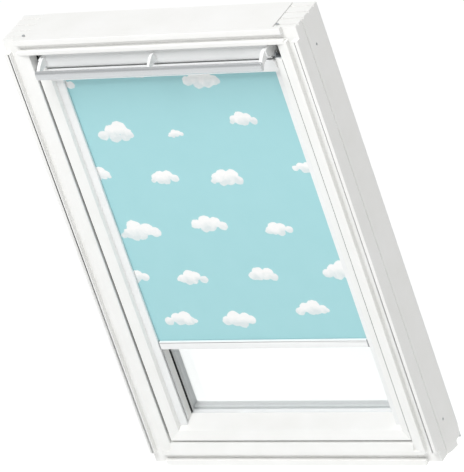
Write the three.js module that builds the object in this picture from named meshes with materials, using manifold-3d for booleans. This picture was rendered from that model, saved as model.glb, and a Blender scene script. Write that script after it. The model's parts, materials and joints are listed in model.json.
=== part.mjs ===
// Centre-pivot roof window with its roller blind, in millimetres.
// X runs across the window, Y from the room to the roof's outside, Z up.
// The origin is the window's centre on the room-side face of the frame.

import * as THREE from 'three';
import { mergeVertices } from 'three/addons/utils/BufferGeometryUtils.js';
import Module from 'manifold-3d';

const wasm = await Module();
wasm.setup();

// Driving dimensions of the window
const windowWidth = 780;
const windowHeight = 1178;
const frameWidth = 59;
const sashGap = 4;

// Depths, stacked from the frame's room-side face to its back
const sashFront = 12;
const sashSplayDepth = 10;
const channelSetback = 14;
const channelDepth = 16;
const glassLand = 16;
const glazingSeal = 3;
const paneThickness = 4;
const paneSpacing = 16;
const beadSeat = 5;
const frameStep = 21;
const pivotInset = 6;

const splayEnd = sashFront + sashSplayDepth;
const channelFront = splayEnd + channelSetback;
const channelSeat = channelFront + channelDepth;
const glassStep = channelSeat + glassLand;
const glassFront = glassStep + glazingSeal;
const outerPaneFront = glassFront + paneThickness + paneSpacing;
const glassBack = outerPaneFront + paneThickness;
const sashBack = glassBack + beadSeat;
const frameDepth = sashBack + frameStep;
const pivotDepth = sashBack - pivotInset;

// Clearances shared by all pieces
const seatGap = 0.3;
const runningGap = 0.5;
const overrun = 20;
const sheetThickness = 1.5;

// Room-side profile of the frame: lip, lining groove, strip and splay
const lipWidth = 14.5;
const grooveWidth = 15;
const grooveDepth = 12;
const stripWidth = 9;
const splayDepth = 8;

// Groove along the outer side of each jamb, and its pilot holes
const sideGrooveDepth = 2;
const sideGrooveWidth = 3;
const sideGrooveStart = 42;
const pilotRadius = 3.5;
const pilotLength = 18;
const pilotBackInset = 50;
const pilotDepthPlace = frameDepth - pilotBackInset;
const pilotEndInset = 83;

// Ends of the jambs
const jambSetback = 3;
const headLipReach = 36;
const cornerFloorLength = 34;
const hornDrop = 8;
const hornRootInset = 77;
const hornMiddleInset = 55;
const hornEndInset = 25;
const hornNotchRise = 6;
const heelInset = 5;
const heelRise = 24;
const endGrooveWidth = 4;
const endGrooveDepth = 4;
const endGrooveSpacing = 26.5;
const endGrooveCount = 4;
const lastGrooveInset = 16;

// Head and sill
const headWidth = 43;
const headStripWidth = 10.5;
const sillRecession = 10;

// Derived places of the frame
const halfWidth = windowWidth / 2;
const halfHeight = windowHeight / 2;
const jambInner = halfWidth - frameWidth;
const jambEnd = halfHeight - jambSetback;
const sashSide = jambInner - sashGap;
const grooveInner = lipWidth + grooveWidth;
const stripInner = grooveInner + stripWidth;
const headStripInner = grooveInner + headStripWidth;
const frameLap = halfWidth - headLipReach;
const headInner = halfHeight - headWidth;
const headStripEdge = halfHeight - headStripInner;
const sillInner = -halfHeight + frameWidth;
const ventHeight = 42.5;
const sashTop = headInner - ventHeight;
const sashBottom = sillInner + sashGap;
const claddingFace = frameDepth + sheetThickness;
const coverSeat = claddingFace + seatGap;

// Left and right
const sides = [-1, 1];

// Facets of round pieces
const roundSegments = 24;
const curveSteps = 10;

// Solids from three's geometries, and back
function solidOf(geometry) {
  const bare = geometry.clone();
  bare.deleteAttribute('normal');
  bare.deleteAttribute('uv');
  const merged = mergeVertices(bare);
  const vertProperties = new Float32Array(merged.attributes.position.array);
  const triVerts = new Uint32Array(merged.index.array);
  return new wasm.Manifold(new wasm.Mesh({ numProp: 3, vertProperties, triVerts }));
}

function geometryOf(solid) {
  const { vertProperties, triVerts } = solid.getMesh();
  const geometry = new THREE.BufferGeometry();
  geometry.setAttribute('position', new THREE.BufferAttribute(vertProperties, 3));
  geometry.setIndex(new THREE.BufferAttribute(triVerts, 1));
  geometry.computeVertexNormals();
  return geometry;
}

function join(...geometries) {
  return geometryOf(geometries.map(solidOf).reduce((whole, next) => whole.add(next)));
}

function cut(base, ...tools) {
  return geometryOf(tools.map(solidOf).reduce((whole, next) => whole.subtract(next), solidOf(base)));
}

function common(first, second) {
  return geometryOf(solidOf(first).intersect(solidOf(second)));
}

// Outlines and their extrusions
function shapeOf(points, holes = []) {
  const toVectors = (list) => list.map(([u, v]) => new THREE.Vector2(u, v));
  const shape = new THREE.Shape(toVectors(points));
  shape.holes = holes.map((hole) => new THREE.Path(toVectors(hole)));
  return shape;
}

function extrude(shape, length) {
  return new THREE.ExtrudeGeometry(shape, { depth: length, bevelEnabled: false });
}

const xAxis = new THREE.Vector3(1, 0, 0);
const yAxis = new THREE.Vector3(0, 1, 0);
const zAxis = new THREE.Vector3(0, 0, 1);

// A section of [x, y] points, drawn out along Z
function alongZ(points, start, end) {
  return extrude(shapeOf(points), end - start).translate(0, 0, start);
}

// A section of [y, z] points, drawn out along X
function alongX(points, start, end, holes = []) {
  const geometry = extrude(shapeOf(points, holes), end - start);
  geometry.applyMatrix4(new THREE.Matrix4().makeBasis(yAxis, zAxis, xAxis));
  return geometry.translate(start, 0, 0);
}

// An outline of [z, x] points, drawn out along Y
function alongY(points, start, end, holes = []) {
  const geometry = extrude(shapeOf(points, holes), end - start);
  geometry.applyMatrix4(new THREE.Matrix4().makeBasis(zAxis, xAxis, yAxis));
  return geometry.translate(0, start, 0);
}

// The same as alongX, between two distances from the middle on one side
function sideways(side, points, near, far) {
  return alongX(points, Math.min(side * near, side * far), Math.max(side * near, side * far));
}

function block(x, y, z) {
  const geometry = new THREE.BoxGeometry(
    Math.abs(x[1] - x[0]),
    y[1] - y[0],
    z[1] - z[0],
  );
  return geometry.translate((x[0] + x[1]) / 2, (y[0] + y[1]) / 2, (z[0] + z[1]) / 2);
}

// A round bar along X
function rod(radius, start, end, y, z) {
  const geometry = new THREE.CylinderGeometry(radius, radius, Math.abs(end - start), roundSegments);
  return geometry.rotateZ(Math.PI / 2).translate((start + end) / 2, y, z);
}

function rectangle(low, high) {
  return [[low[0], low[1]], [high[0], low[1]], [high[0], high[1]], [low[0], high[1]]];
}

// Points along an arc, for a round stretch of an outline
function arc(centre, radius, from, to) {
  const points = [];
  for (let step = 0; step <= curveSteps; step += 1) {
    const angle = from + (to - from) * step / curveSteps;
    points.push([centre[0] + radius * Math.cos(angle), centre[1] + radius * Math.sin(angle)]);
  }
  return points;
}

function roundedRectangle(centre, halfU, halfV, radius) {
  const right = centre[0] + halfU - radius;
  const left = centre[0] - halfU + radius;
  const top = centre[1] + halfV - radius;
  const bottom = centre[1] - halfV + radius;
  const quarter = Math.PI / 2;
  return [
    ...arc([right, top], radius, 0, quarter),
    ...arc([left, top], radius, quarter, 2 * quarter),
    ...arc([left, bottom], radius, 2 * quarter, 3 * quarter),
    ...arc([right, bottom], radius, 3 * quarter, 4 * quarter),
  ];
}

// Folded sheet: a path thickened to its left, or to its right where the thickness is negative
function sheet(path, thickness) {
  const points = path.map(([u, v]) => new THREE.Vector2(u, v));
  const leftOf = (from, to) => {
    const along = to.clone().sub(from).normalize();
    return new THREE.Vector2(-along.y, along.x);
  };
  const inner = points.map((point, index) => {
    const before = leftOf(points[Math.max(index - 1, 0)], points[Math.max(index, 1)]);
    const last = points.length - 1;
    const after = leftOf(points[Math.min(index, last - 1)], points[Math.min(index + 1, last)]);
    const mitre = before.clone().add(after);
    return point.clone().addScaledVector(mitre, thickness / (mitre.dot(before)));
  });
  return [...path, ...inner.reverse().map((point) => [point.x, point.y])];
}

// Materials, one for each finish
function finish(color, roughness, metalness = 0) {
  return () => new THREE.MeshStandardMaterial({ color, roughness, metalness });
}

const whiteLacquer = finish(0xf4f4f2, 0.45);
const whiteAluminium = finish(0xf2f3f3, 0.4);
const paleAluminium = finish(0xe2e5e6, 0.5, 0.2);
const satinAluminium = finish(0xd9dbdc, 0.35, 0.8);
const zincSteel = finish(0xb4b8ba, 0.4, 0.9);
const whitePlastic = finish(0xf0f0ee, 0.5);
const blackRubber = finish(0x1c1d1e, 0.8);
const greyFoam = finish(0x7b8084, 0.95);
const blueCloth = finish(0xaadade, 0.85);

function clearGlass() {
  return new THREE.MeshStandardMaterial({
    color: 0xdfeef0,
    roughness: 0.05,
    metalness: 0,
    transparent: true,
    opacity: 0.35,
  });
}

function piece(name, geometry, material) {
  const mesh = new THREE.Mesh(geometry, material());
  mesh.name = name;
  return mesh;
}

function sideName(side) {
  return side < 0 ? 'left' : 'right';
}

// Pivots at half height: a pin on the sash turns in a housing let into the jamb
const pivotHousingHalfWidth = 16;
const pivotHousingHalfLength = 55;
const pivotHousingThickness = 13;
const pivotPinRadius = 5.5;
const pivotPinLength = 15;
const pivotArmThickness = 5;
const pivotArmHalfLength = 70;
const pivotArmWidth = 22;

function pivotHousingOutline(margin) {
  const straight = pivotHousingHalfLength - pivotHousingHalfWidth;
  const radius = pivotHousingHalfWidth + margin;
  return [
    ...arc([pivotDepth, straight], radius, 0, Math.PI),
    ...arc([pivotDepth, -straight], radius, Math.PI, 2 * Math.PI),
  ];
}

function pivotHousing(side) {
  const back = jambInner + pivotHousingThickness;
  const plate = sideways(side, pivotHousingOutline(0), jambInner, back);
  const bore = rod(
    pivotPinRadius + runningGap,
    side * (jambInner - overrun),
    side * (back + overrun),
    pivotDepth,
    0,
  );
  return piece(`${sideName(side)}_pivot_housing`, cut(plate, bore), zincSteel);
}

// Jambs: the room-side profile drawn out upright, cut to its ends, pockets and holes
function jambSection(side) {
  const sideGrooveEnd = sideGrooveStart + sideGrooveWidth;
  const profile = [
    [0, 0],
    [lipWidth, 0],
    [lipWidth, grooveDepth],
    [grooveInner, grooveDepth],
    [grooveInner, 0],
    [stripInner, 0],
    [frameWidth, splayDepth],
    [frameWidth, frameDepth],
    [0, frameDepth],
    [0, sideGrooveEnd],
    [sideGrooveDepth, sideGrooveEnd],
    [sideGrooveDepth, sideGrooveStart],
    [0, sideGrooveStart],
  ];
  return profile.map(([inward, depth]) => [side * (halfWidth - inward), depth]);
}

function jambOutline() {
  const frontEnd = halfHeight - cornerFloorLength;
  return [
    [0, frontEnd],
    [0, -frontEnd],
    [grooveDepth, -frontEnd],
    [grooveDepth, -jambEnd],
    [frameDepth - hornRootInset, -jambEnd],
    [frameDepth - hornMiddleInset, -halfHeight - hornDrop / 2],
    [frameDepth - hornEndInset, -halfHeight - hornDrop],
    [frameDepth - hornEndInset, -halfHeight + hornNotchRise],
    [frameDepth - heelInset, -halfHeight + hornDrop],
    [frameDepth, -halfHeight + heelRise],
    [frameDepth, jambEnd],
    [grooveDepth, jambEnd],
    [grooveDepth, frontEnd],
  ];
}

function jamb(side) {
  const outside = side * (halfWidth + overrun);
  const tall = halfHeight + overrun;
  const bar = common(
    alongZ(jambSection(side), -tall, tall),
    sideways(side, jambOutline(), jambInner - overrun, halfWidth + overrun),
  );
  const cuts = [];
  for (const end of [-1, 1]) {
    const lapSpan = [side * (jambInner - overrun), side * frameLap];
    const heights = [end * headStripEdge, end * tall].sort((low, high) => low - high);
    cuts.push(block(lapSpan, [-overrun, grooveDepth], heights));
    const holeHeight = end * (halfHeight - pilotEndInset);
    const holeEnd = side * (halfWidth - pilotLength);
    cuts.push(rod(pilotRadius, outside, holeEnd, pilotDepthPlace, holeHeight));
  }
  for (let groove = 0; groove < endGrooveCount; groove += 1) {
    const place = frameDepth - lastGrooveInset - groove * endGrooveSpacing;
    const across = [side * (jambInner - overrun), outside];
    const along = [place - endGrooveWidth / 2, place + endGrooveWidth / 2];
    cuts.push(block(across, along, [jambEnd - endGrooveDepth, tall]));
  }
  const pocketBack = jambInner + pivotHousingThickness + seatGap;
  cuts.push(sideways(side, pivotHousingOutline(seatGap), jambInner - overrun, pocketBack));
  return piece(`${sideName(side)}_jamb`, cut(bar, ...cuts), whiteLacquer);
}

// Head and sill: the bulk stands between the jambs, the lip and strip lap over them
function crossbar(name, section, end) {
  const wide = alongX(section, -frameLap, frameLap);
  const heights = [end * headStripEdge, end * (halfHeight + overrun)].sort((low, high) => low - high);
  const lapZone = block([-frameLap, frameLap], [-overrun, grooveDepth], heights);
  const bulk = alongX(section, -jambInner, jambInner);
  return piece(name, join(bulk, common(wide, lapZone)), whiteLacquer);
}

function head() {
  const profile = [
    [0, 0],
    [0, lipWidth],
    [grooveDepth, lipWidth],
    [grooveDepth, grooveInner],
    [0, grooveInner],
    [0, headStripInner],
    [splayDepth, headWidth],
    [frameDepth, headWidth],
    [frameDepth, 0],
  ];
  return crossbar('head', profile.map(([depth, inward]) => [depth, halfHeight - inward]), 1);
}

function sill() {
  const profile = [
    [0, 0],
    [0, lipWidth],
    [grooveDepth, lipWidth],
    [grooveDepth, grooveInner],
    [0, grooveInner],
    [0, headStripInner],
    [splayDepth, frameWidth],
    [frameDepth, frameWidth - sillRecession],
    [frameDepth, 0],
  ];
  return crossbar('sill', profile.map(([depth, inward]) => [depth, inward - halfHeight]), -1);
}

// Weather seal round the upper half of the opening, on the frame's inner faces
const sealThickness = 2;
const sealWidth = 6;
const sealInset = 2;
const sealPlace = channelFront - sealInset;
const sealStart = 100;

function frameGasket() {
  const outline = [
    [sealStart, -jambInner],
    [headInner, -jambInner],
    [headInner, jambInner],
    [sealStart, jambInner],
    [sealStart, jambInner - sealThickness],
    [headInner - sealThickness, jambInner - sealThickness],
    [headInner - sealThickness, -jambInner + sealThickness],
    [sealStart, -jambInner + sealThickness],
  ];
  return piece('frame_gasket', alongY(outline, sealPlace, sealPlace + sealWidth), blackRubber);
}

// Strike plate under the head, with a lip that the latch comes to rest against
const latchRailInset = 14.5;
const latchPlace = channelSeat + latchRailInset;
const filterHeight = 26;
const strikeHalfLength = 30;
const strikeFrontReach = 10.5;
const strikeLipReach = 7.5;
const strikeLipClearance = 5;
const strikeStart = latchPlace - strikeFrontReach;
const strikeLipPlace = latchPlace + strikeLipReach;
const strikeLipDrop = ventHeight - filterHeight - strikeLipClearance;

function strikePlate() {
  const path = [
    [strikeStart, headInner],
    [strikeLipPlace + sheetThickness, headInner],
    [strikeLipPlace + sheetThickness, headInner - strikeLipDrop],
  ];
  const plate = alongX(sheet(path, -sheetThickness), -strikeHalfLength, strikeHalfLength);
  return piece('strike_plate', plate, zincSteel);
}

// Outside sheet metal of the frame
const claddingFlange = 15;
const claddingFoot = 34;
const coverReach = 4;
const coverLap = 31;
const coverWall = 20;
const upperCoverStart = 95;
const hoodSpan = 104;
const hoodHeight = 24;
const hoodBase = 38;
const hoodSetback = 20;
const hoodSlope = 18;
const hoodLip = 8;
const hoodInset = 21;

function sideCladding(side) {
  const path = [
    [side * halfWidth, frameDepth],
    [side * jambInner, frameDepth],
    [side * jambInner, frameDepth - claddingFlange],
  ];
  const strip = alongZ(sheet(path, side * -sheetThickness), claddingFoot - halfHeight, jambEnd);
  const flangeEnd = (heights) => block(
    [side * (jambInner - overrun), side * jambInner],
    [0, coverSeat],
    heights,
  );
  const ends = [
    flangeEnd([headInner - seatGap, halfHeight]),
    flangeEnd([-halfHeight, sillInner]),
  ];
  return piece(`${sideName(side)}_cladding`, cut(strip, ...ends), paleAluminium);
}

function sillCladding() {
  const reach = jambInner - sheetThickness - seatGap;
  const heights = [-halfHeight, sillInner - sillRecession];
  return piece('sill_cladding', block([-reach, reach], [frameDepth, claddingFace], heights), paleAluminium);
}

function upperCover(side) {
  const path = [
    [side * (halfWidth - coverReach), coverSeat],
    [side * (jambInner - coverLap + sheetThickness), coverSeat],
    [side * (jambInner - coverLap + sheetThickness), coverSeat - coverWall + sheetThickness],
  ];
  const top = halfHeight - hoodSpan + hoodLip;
  const cover = alongZ(sheet(path, side * -sheetThickness), upperCoverStart, top);
  return piece(`${sideName(side)}_upper_cover`, cover, paleAluminium);
}

function hood() {
  const ridge = halfHeight - hoodSetback;
  const crown = coverSeat + hoodHeight;
  const front = halfHeight - hoodSpan;
  const flange = [coverSeat, halfHeight - hoodBase];
  const crest = [
    [coverSeat, ridge],
    [crown - hoodSlope / 2, ridge],
    [crown, ridge - hoodSlope],
    [crown, front],
  ];
  const path = [flange, ...crest, [crown - hoodLip, front]];
  const reach = halfWidth - hoodInset;
  const folded = alongX(sheet(path, -sheetThickness), -reach, reach);
  const coverSkin = coverSeat + sheetThickness + seatGap;
  const endOutline = [
    ...crest,
    [coverSkin, front],
    [coverSkin, front + hoodLip + seatGap],
    [coverSeat, front + hoodLip + seatGap],
  ];
  const plates = sides.map((side) => sideways(side, endOutline, reach - sheetThickness, reach));
  return piece('hood', join(folded, ...plates), paleAluminium);
}

// Sash profile: front splay, step for the blind's channel, step for the glass
const sashSplayWidth = 23;
const channelWidth = 20;
const glassRebate = 27;
const stileTopInset = 4;
const stileTopRise = 31.5;

// Bottom rail, top rail
const ledgeRise = 22;
const ledgeTop = 42.3;
const bottomRebate = 26.5;
const topRailHeight = 33.5;
const topRebate = 17.5;

// Glass unit and its seals
const gasketDrop = 4;
const spacerInset = 3;
const spacerWidth = 8;
const beadCover = 10;
const beadThickness = 1.8;
const beadStep = 2.5;
const coverFootInset = 2;

// Derived places of the sash
const sashInner = sashSide - sashSplayWidth;
const daylight = sashInner - channelWidth;
const glassPocket = sashSide - glassRebate;
const railSlotBottom = sashBottom + bottomRebate;
const railSlotTop = sashTop - topRebate;
const daylightTop = sashTop - topRailHeight;
const daylightBottom = sashBottom + ledgeTop;

function ledgeHeight(depth) {
  const share = (depth - splayEnd) / (glassStep - splayEnd);
  return sashBottom + ledgeRise + (ledgeTop - ledgeRise) * share;
}

function stileSection(side) {
  const profile = [
    [sashSide, sashFront],
    [sashInner, splayEnd],
    [sashInner, channelSeat],
    [daylight, channelSeat],
    [daylight, glassStep],
    [glassPocket, glassStep],
    [glassPocket, sashBack],
    [sashSide, sashBack],
  ];
  return profile.map(([across, depth]) => [side * across, depth]);
}

// Stiles, with a pocket for the pivot arm
function stile(side) {
  const top = sashTop + stileTopRise;
  const bar = alongZ(stileSection(side), sashBottom, top);
  const frontPart = block(
    [side * (daylight - overrun), side * (sashSide + overrun)],
    [-overrun, channelSeat - stileTopInset],
    [sashTop, top + overrun],
  );
  const armPocket = block(
    [side * (sashSide - pivotArmThickness - seatGap), side * (sashSide + overrun)],
    [sashBack - pivotArmWidth - seatGap, sashBack + overrun],
    [-pivotArmHalfLength - seatGap, pivotArmHalfLength + seatGap],
  );
  return piece(`${sideName(side)}_stile`, cut(bar, frontPart, armPocket), whiteLacquer);
}

function pivotArm(side) {
  const plate = block(
    [side * (sashSide - pivotArmThickness), side * sashSide],
    [sashBack - pivotArmWidth, sashBack],
    [-pivotArmHalfLength, pivotArmHalfLength],
  );
  const pin = rod(
    pivotPinRadius,
    side * (sashSide - pivotArmThickness),
    side * (sashSide + pivotPinLength),
    pivotDepth,
    0,
  );
  return piece(`${sideName(side)}_pivot_arm`, join(plate, pin), zincSteel);
}

// Rails stand between the stiles and are cut to the stiles' steps
function railBar(section) {
  const bar = alongX(section, -sashInner, sashInner);
  const tall = halfHeight + overrun;
  const steps = sides.map((side) => join(
    block([side * daylight, side * (sashInner + overrun)], [channelSeat, glassStep], [-tall, tall]),
    block([side * glassPocket, side * (sashInner + overrun)], [glassStep, sashBack], [-tall, tall]),
  ));
  return cut(bar, ...steps);
}

// The bottom rail's front splay meets the stiles' splays in a mitre at each corner
function bottomRail() {
  const splay = [
    [sashFront, sashBottom],
    [splayEnd, sashBottom + ledgeRise],
  ];
  const bar = railBar([
    ...splay,
    [glassStep, daylightBottom],
    [glassStep, railSlotBottom],
    [sashBack, railSlotBottom],
    [sashBack, sashBottom],
  ]);
  const wedge = alongX([...splay, [splayEnd, sashBottom]], -sashSide, sashSide);
  const tall = halfHeight + overrun;
  const stileBars = sides.map((side) => alongZ(stileSection(side), -tall, tall));
  return piece('bottom_rail', join(bar, cut(wedge, ...stileBars)), whiteLacquer);
}

function topRail() {
  const bar = railBar([
    [channelSeat, daylightTop],
    [glassStep, daylightTop],
    [glassStep, railSlotTop],
    [sashBack, railSlotTop],
    [sashBack, sashTop],
    [channelSeat, sashTop],
  ]);
  return piece('top_rail', bar, whiteLacquer);
}

// Rings round the glass, as [z, x] outlines
function ring(outer, inner) {
  const corners = ({ low, high, across }) => rectangle([low, -across], [high, across]);
  return [corners(outer), [corners(inner)]];
}

const glassEdge = {
  low: railSlotBottom + seatGap,
  high: railSlotTop - seatGap,
  across: glassPocket - seatGap,
};

function insetOf({ low, high, across }, inset) {
  return { low: low + inset, high: high - inset, across: across - inset };
}

function glazingGasket() {
  const clear = { low: daylightBottom - gasketDrop, high: daylightTop, across: daylight };
  const [outer, holes] = ring(glassEdge, clear);
  return piece('glazing_gasket', alongY(outer, glassStep, glassFront, holes), blackRubber);
}

function spacerBar() {
  const outerEdge = insetOf(glassEdge, spacerInset);
  const [outer, holes] = ring(outerEdge, insetOf(outerEdge, spacerWidth));
  const start = glassFront + paneThickness;
  return piece('spacer_bar', alongY(outer, start, start + paneSpacing, holes), satinAluminium);
}

function pane(name, start) {
  const { low, high, across } = glassEdge;
  const outline = rectangle([low, -across], [high, across]);
  return piece(name, alongY(outline, start, start + paneThickness), clearGlass);
}

// Glazing beads clamp the glass from outside: a lip on the pane and a foot on the sash
function beadSection(lip, pocket, outer) {
  const into = Math.sign(outer - pocket);
  const bend = pocket - into * beadStep;
  return [
    [lip, glassBack + seatGap],
    [pocket - into * seatGap, glassBack + seatGap],
    [pocket - into * seatGap, sashBack + seatGap],
    [outer, sashBack + seatGap],
    [outer, sashBack + seatGap + beadThickness],
    [bend, sashBack + seatGap + beadThickness],
    [lip, glassBack + seatGap + beadThickness],
  ];
}

function sideBead(side) {
  const section = beadSection(
    side * (glassPocket - beadCover),
    side * glassPocket,
    side * (sashSide - coverFootInset),
  );
  const strip = alongZ(section, glassEdge.low, glassEdge.high);
  return piece(`${sideName(side)}_glazing_bead`, strip, paleAluminium);
}

function crossBead(name, pocket, outer) {
  const into = Math.sign(outer - pocket);
  const section = beadSection(pocket - into * beadCover, pocket, outer);
  const reach = glassPocket - beadCover - seatGap;
  const swapped = section.map(([height, depth]) => [depth, height]);
  return piece(name, alongX(swapped, -reach, reach), paleAluminium);
}

// Sheet covers that the sash carries over the frame's lower half
const lowerCoverStart = 130;
const lowerCoverWall = 31;
const sashCoverRise = 1.2;
const bottomCoverTop = 102;
const bottomCoverOverhang = 2;
const bottomCoverLip = 4;
const coverFoot = sashBack + seatGap + beadThickness + seatGap;
const coverTop = coverSeat + sashCoverRise + sheetThickness;

function lowerCover(side) {
  const path = [
    [side * (sashSide - coverFootInset), coverFoot],
    [side * (sashSide - lowerCoverWall), coverFoot],
    [side * (sashSide - lowerCoverWall), coverTop],
    [side * (halfWidth - coverReach), coverTop],
  ];
  const foot = bottomCoverTop - halfHeight + seatGap;
  const cover = alongZ(sheet(path, side * -sheetThickness), foot, -lowerCoverStart);
  return piece(`${sideName(side)}_lower_cover`, cover, paleAluminium);
}

function bottomCover() {
  const top = bottomCoverTop - halfHeight;
  const foot = -halfHeight - bottomCoverOverhang;
  const flange = [
    [coverTop, foot],
    [coverTop - bottomCoverLip, foot],
  ];
  const between = [
    [coverFoot, sashBottom + coverFootInset],
    [coverFoot, top],
    [coverTop, top],
    ...flange,
  ];
  const inner = alongX(sheet(between, -sheetThickness), coverFootInset - sashSide, sashSide - coverFootInset);
  const reach = halfWidth - coverReach;
  const wide = alongX(sheet([[coverTop, top], ...flange], -sheetThickness), -reach, reach);
  return piece('bottom_cover', join(inner, wide), paleAluminium);
}

// Air filter in the ventilation slot above the top rail
const filterDepth = 21;
const filterInset = 2;
const filterEnd = sashBack - filterInset;

function airFilter() {
  const reach = glassPocket - filterInset;
  const heights = [sashTop, sashTop + filterHeight];
  return piece('air_filter', block([-reach, reach], [filterEnd - filterDepth, filterEnd], heights), greyFoam);
}

// Latch: a lever between two cheeks on the top rail
const latchPinHeight = 9.5;
const latchPinRadius = 2.5;
const latchHalfLength = 22;
const latchBaseDepth = 14;
const latchBaseThickness = 2;
const latchCheek = 3;
const latchCheekRadius = 6;
const latchLeverHalf = 10;
const latchLeverRadius = 5.5;
const latchLeverThickness = 6;
const latchHeadGap = 5;
const latchLeverHeight = ventHeight - latchHeadGap;
const latchHookReach = 3.5;
const latchHookDrop = 7;
const latchFootTurn = 0.5;

const latchAxis = [latchPlace, sashTop + latchPinHeight];

function latchCase() {
  const [y, z] = latchAxis;
  const depth = [y - latchBaseDepth / 2, y + latchBaseDepth / 2];
  const reach = [-latchHalfLength, latchHalfLength];
  const base = block(reach, depth, [sashTop, sashTop + latchBaseThickness]);
  const cheekOutline = [
    ...arc(latchAxis, latchCheekRadius, 0, Math.PI),
    [depth[0], sashTop],
    [depth[1], sashTop],
  ];
  const cheekInner = latchLeverHalf + runningGap;
  const cheeks = sides.map((side) => sideways(side, cheekOutline, cheekInner, cheekInner + latchCheek));
  const pin = rod(latchPinRadius, -cheekInner - latchCheek, cheekInner + latchCheek, y, z);
  return piece('latch_case', join(base, ...cheeks, pin), zincSteel);
}

// The lever is drawn about its own axis
function latchLever() {
  const half = latchLeverThickness / 2;
  const outline = [
    ...arc([0, 0], latchLeverRadius, Math.PI - latchFootTurn, 2 * Math.PI + latchFootTurn),
    [half, latchLeverHeight - latchHookDrop - latchPinHeight],
    [half + latchHookReach, latchLeverHeight - latchHookDrop - latchPinHeight],
    [half + latchHookReach, latchLeverHeight - latchPinHeight],
    [-half, latchLeverHeight - latchPinHeight],
  ];
  const lever = alongX(outline, -latchLeverHalf, latchLeverHalf);
  const bore = rod(latchPinRadius + seatGap, -latchHalfLength, latchHalfLength, 0, 0);
  return piece('latch_lever', cut(lever, bore), zincSteel);
}

// Ventilation flap: a bowed front on a hinge tube, closing the gap under the head
const flapHingeInset = 18;
const flapHingeHeight = 4.5;
const flapHeadGap = 3;
const flapLipDepth = 9;
const flapTopInset = 1.3;
const flapBowProud = 2.5;
const flapBowHeight = 16.5;
const flapFootInset = 5.9;
const flapHingeDepth = sashFront + flapHingeInset;
const flapTopDepth = sashFront + flapTopInset;
const flapBowDepth = sashFront - flapBowProud;
const flapFootDepth = sashFront + flapFootInset;
const flapFootHeight = 1.2;
const flapTubeRadius = 4.5;
const flapPinRadius = 2.5;
const flapEndGap = 4.3;
const bowSteps = 8;

const flapAxis = [flapHingeDepth, sashTop + flapHingeHeight];
const flapTop = headInner - flapHeadGap;
const flapReach = sashInner - flapEndGap;

function flapFace() {
  const bow = new THREE.QuadraticBezierCurve(
    new THREE.Vector2(flapTopDepth, flapTop),
    new THREE.Vector2(flapBowDepth, sashTop + flapBowHeight),
    new THREE.Vector2(flapFootDepth, sashTop + flapFootHeight),
  );
  return bow.getPoints(bowSteps).map((point) => [point.x, point.y]);
}

// Pieces of the flap are drawn in place, then moved to turn about its hinge
function onFlap(name, geometry, material) {
  return piece(name, geometry.translate(0, -flapAxis[0], -flapAxis[1]), material);
}

function flap() {
  const path = [
    [flapTopDepth + flapLipDepth, flapTop],
    ...flapFace(),
    [flapHingeDepth, sashTop + flapFootHeight],
  ];
  const skin = alongX(sheet(path, sheetThickness), -flapReach, flapReach);
  const tube = rod(flapTubeRadius, -flapReach, flapReach, ...flapAxis);
  const bore = rod(flapPinRadius + seatGap, -halfWidth, halfWidth, ...flapAxis);
  return onFlap('ventilation_flap', cut(join(skin, tube), bore), whiteAluminium);
}

// Control bar in front of the flap, and the three curved brackets that carry it
const barStandOff = 43;
const barHeight = 9;
const barHalfDepth = 5.5;
const barHalfHeight = 11.5;
const bracketShoulderProud = 13.3;
const bracketShoulderFall = 6;
const bracketBowProud = 25.5;
const bracketBowFall = 10.5;
const bracketTipHeight = 13.3;
const bracketRootHeight = 13.5;
const bracketArchProud = 20;
const bracketArchHeight = 16.5;
const bracketHeelHeight = 1.5;
const endBracketWidth = 8.5;
const middleBracketWidth = 6.5;
const cheekThickness = 2.7;
const cheekBackReach = 15;
const cheekTopFall = 7;
const cheekFootHeight = 9;
const cheekHeelRadius = 4.2;

const barDepth = sashFront - barStandOff;
const barReach = flapReach + seatGap;
const bracketShoulder = [sashFront - bracketShoulderProud, flapTop - bracketShoulderFall];
const bracketArchDepth = sashFront - bracketArchProud;
const cheekDepth = flapHingeDepth + cheekBackReach;
const barCentre = [barDepth, sashTop + barHeight];

function barOutline(margin) {
  const ellipse = new THREE.EllipseCurve(
    ...barCentre,
    barHalfDepth + margin,
    barHalfHeight + margin,
    0,
    2 * Math.PI,
  );
  return ellipse.getPoints(roundSegments).slice(1).map((point) => [point.x, point.y]);
}

function controlBar() {
  return onFlap('control_bar', alongX(barOutline(0), -barReach, barReach), satinAluminium);
}

function armOutline() {
  const upper = new THREE.QuadraticBezierCurve(
    new THREE.Vector2(...bracketShoulder),
    new THREE.Vector2(sashFront - bracketBowProud, flapTop - bracketBowFall),
    new THREE.Vector2(barDepth, sashTop + bracketTipHeight),
  );
  const lower = new THREE.QuadraticBezierCurve(
    new THREE.Vector2(barDepth, sashTop + bracketHeelHeight),
    new THREE.Vector2(bracketArchDepth, sashTop + bracketArchHeight),
    new THREE.Vector2(flapFootDepth, sashTop + bracketRootHeight),
  );
  const points = [...upper.getPoints(bowSteps), ...lower.getPoints(bowSteps)];
  return [
    [flapFootDepth, bracketShoulder[1]],
    ...points.map((point) => [point.x, point.y]),
  ];
}

function bracketArm(low, high) {
  const arm = alongX(armOutline(), low, high);
  const behindFace = [
    ...flapFace().map(([depth, height]) => [depth - seatGap, height]),
    [cheekDepth + overrun, sashTop],
    [cheekDepth + overrun, flapTop],
  ];
  const skinZone = alongX(behindFace, -flapReach - seatGap, flapReach + seatGap);
  const barZone = alongX(barOutline(seatGap), -halfWidth, halfWidth);
  return cut(arm, skinZone, barZone);
}

function middleBracket() {
  const arm = bracketArm(-middleBracketWidth / 2, middleBracketWidth / 2);
  return onFlap('middle_bracket', arm, whiteAluminium);
}

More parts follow.
